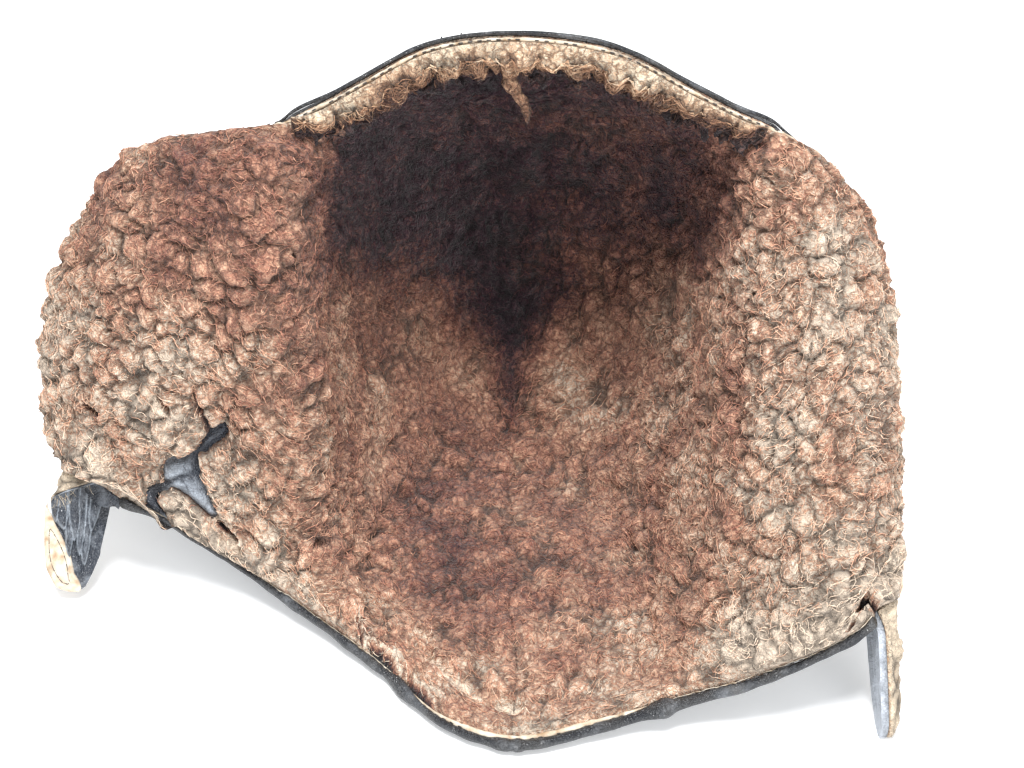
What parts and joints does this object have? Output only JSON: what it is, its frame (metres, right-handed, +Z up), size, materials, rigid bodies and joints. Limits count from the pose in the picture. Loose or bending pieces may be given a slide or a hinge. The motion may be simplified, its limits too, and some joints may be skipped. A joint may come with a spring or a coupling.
{
  "type": "leather flying helmet",
  "caption": "Black leather flying helmet lined with curly brown sheepskin, lying on its crown with the cheek flaps fallen open.",
  "frame": {"origin": "on the table, at the middle of the helmet's footprint as it lies on the back of its crown", "axes": "+X to the right as one looks into the head opening, +Y from the opening towards the crown, +Z up from the table"},
  "size_m": [0.3158, 0.2206, 0.2096],
  "materials": {
    "black_leather": "aged black hide with a blue cast, dull on the flat and rubbed shiny on folds",
    "brown_fleece": "matt curly sheepskin, dark in the hollow and tan to cream at the tips",
    "brow_fleece": "matt sheepskin, paler and combed flat",
    "binding_leather": "rolled black leather edge, worn grey along the top",
    "tab_leather": "slate black wrinkled leather with rubbed grey folds",
    "tab_fleece": "matt cream fleece on raw hide"
  },
  "bodies": {
    "root": {"leather_left": "black_leather", "leather_right": "black_leather", "leather_strip": "black_leather", "fleece_left": "brown_fleece", "fleece_right": "brown_fleece", "fleece_strip": "brown_fleece", "brow_band": "brow_fleece", "face_binding": "binding_leather", "neck_binding": "binding_leather", "chin_tab_left": "tab_leather", "chin_tab_right": "tab_leather", "chin_tab_fleece_left": "tab_fleece", "chin_tab_fleece_right": "tab_fleece"}
  },
  "joints": []
}
